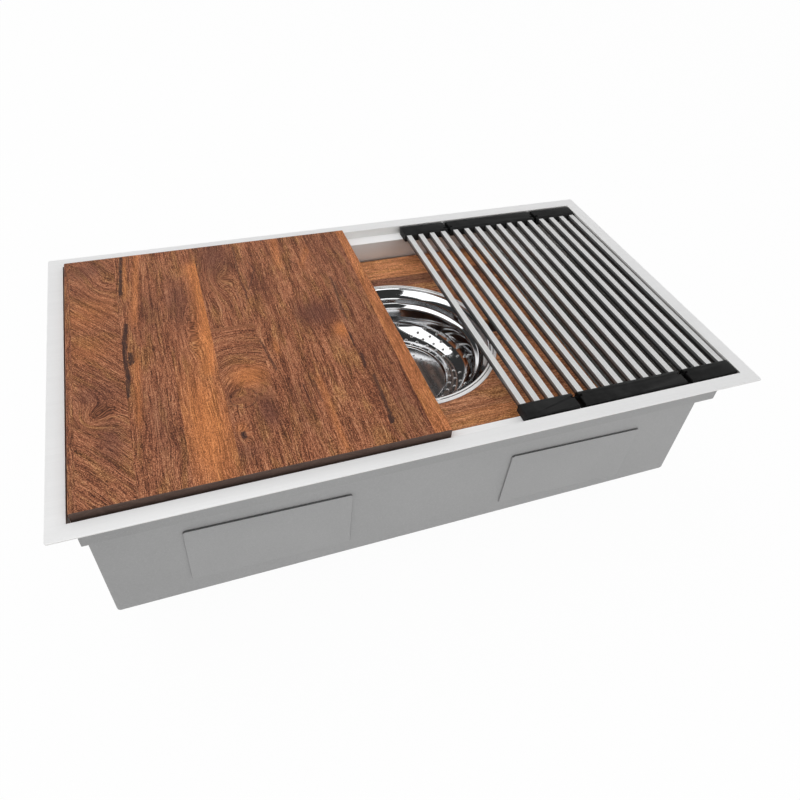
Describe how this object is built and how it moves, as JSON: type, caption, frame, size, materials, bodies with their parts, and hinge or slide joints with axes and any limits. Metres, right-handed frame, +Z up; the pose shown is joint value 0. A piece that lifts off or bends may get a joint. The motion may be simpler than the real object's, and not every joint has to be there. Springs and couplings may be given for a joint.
{
  "type": "workstation kitchen sink",
  "caption": "Undermount ledge sink in stainless steel with a sliding cutting board, a folding drying rack and a colander in a wooden platform.",
  "frame": {"origin": "centre of the rim's flat top face, level with the flange that meets the countertop", "axes": "+Z up, out of the bowl; +X to the right as a user stands at the front; +Y to the back wall"},
  "size_m": [0.8382, 0.4826, 0.3145],
  "materials": {
    "brushed_stainless": "fine brushed, lengthways",
    "grey_sound_coat": "matt speckled grey undercoat",
    "bright_stainless": "bright polished",
    "cast_nut_metal": "plain cast, matt",
    "fibre_washer": "plain fibre",
    "black_rubber": "matt",
    "red_brown_wood": "oiled, edge-glued staves",
    "orange_brown_wood": "oiled, edge-glued staves",
    "mirror_stainless": "mirror polished",
    "satin_stainless": "light satin",
    "black_silicone": "smooth matt"
  },
  "bodies": {
    "sink": {"sink_shell": "brushed_stainless", "sound_pad_back_left": "grey_sound_coat", "sound_pad_back_right": "grey_sound_coat", "sound_pad_front_left": "grey_sound_coat", "sound_pad_front_right": "grey_sound_coat", "sound_pad_left_end": "grey_sound_coat", "sound_pad_right_end": "grey_sound_coat", "strainer_body": "bright_stainless", "strainer_gasket": "black_rubber", "strainer_friction_washer": "fibre_washer", "strainer_locknut": "cast_nut_metal"},
    "basket": {"strainer_basket": "bright_stainless", "strainer_stopper": "black_rubber", "strainer_post": "bright_stainless"},
    "board": {"cutting_board": "red_brown_wood"},
    "platform": {"colander_platform": "orange_brown_wood"},
    "colander": {"colander": "mirror_stainless"},
    "rack_middle": {"rack_bar_back_middle": "black_silicone", "rack_bar_front_middle": "black_silicone", "rack_rod_05": "satin_stainless", "rack_rod_06": "satin_stainless", "rack_rod_07": "satin_stainless", "rack_rod_08": "satin_stainless", "rack_rod_09": "satin_stainless", "rack_rod_10": "satin_stainless", "rack_rod_11": "satin_stainless", "rack_rod_12": "satin_stainless"},
    "rack_left": {"rack_bar_back_left": "black_silicone", "rack_bar_front_left": "black_silicone", "rack_rod_01": "satin_stainless", "rack_rod_02": "satin_stainless", "rack_rod_03": "satin_stainless", "rack_rod_04": "satin_stainless"},
    "rack_right": {"rack_bar_back_right": "black_silicone", "rack_bar_front_right": "black_silicone", "rack_rod_13": "satin_stainless", "rack_rod_14": "satin_stainless", "rack_rod_15": "satin_stainless", "rack_rod_16": "satin_stainless"},
    "links_left": {"rack_link_back_left": "black_silicone", "rack_link_front_left": "black_silicone"},
    "links_right": {"rack_link_back_right": "black_silicone", "rack_link_front_right": "black_silicone"}
  },
  "joints": [
    {"name": "board_slide", "type": "slide", "parent": "sink", "child": "board", "axis": [1, 0, 0], "range_m": [0, 0.09]},
    {"name": "rack_slide", "type": "slide", "parent": "sink", "child": "rack_middle", "axis": [1, 0, 0], "range_m": [-0.09, 0]},
    {"name": "rack_left_lift", "type": "hinge", "parent": "rack_middle", "child": "links_left", "pos_m": [0.1734, 0, -0.0045], "axis": [0, 1, 0], "range_deg": [0, 90]},
    {"name": "rack_left_fold", "type": "hinge", "parent": "links_left", "child": "rack_left", "pos_m": [0.1634, 0, -0.0045], "axis": [0, 1, 0], "range_deg": [0, 90]},
    {"name": "rack_right_lift", "type": "hinge", "parent": "rack_middle", "child": "links_right", "pos_m": [0.31955, 0, -0.0045], "axis": [0, -1, 0], "range_deg": [0, 90]},
    {"name": "rack_right_fold", "type": "hinge", "parent": "links_right", "child": "rack_right", "pos_m": [0.32955, 0, -0.0045], "axis": [0, -1, 0], "range_deg": [0, 90]},
    {"name": "platform_slide", "type": "slide", "parent": "sink", "child": "platform", "axis": [1, 0, 0], "range_m": [-0.195, 0.155]},
    {"name": "colander_lift", "type": "slide", "parent": "platform", "child": "colander", "axis": [0, 0, 1], "range_m": [0, 0.022]},
    {"name": "basket_lift", "type": "slide", "parent": "sink", "child": "basket", "axis": [0, 0, 1], "range_m": [0, 0.1]}
  ],
  "couplings": [
    {"joint": "rack_left_fold", "follows": "rack_left_lift", "ratio": 1},
    {"joint": "rack_right_fold", "follows": "rack_right_lift", "ratio": 1}
  ]
}
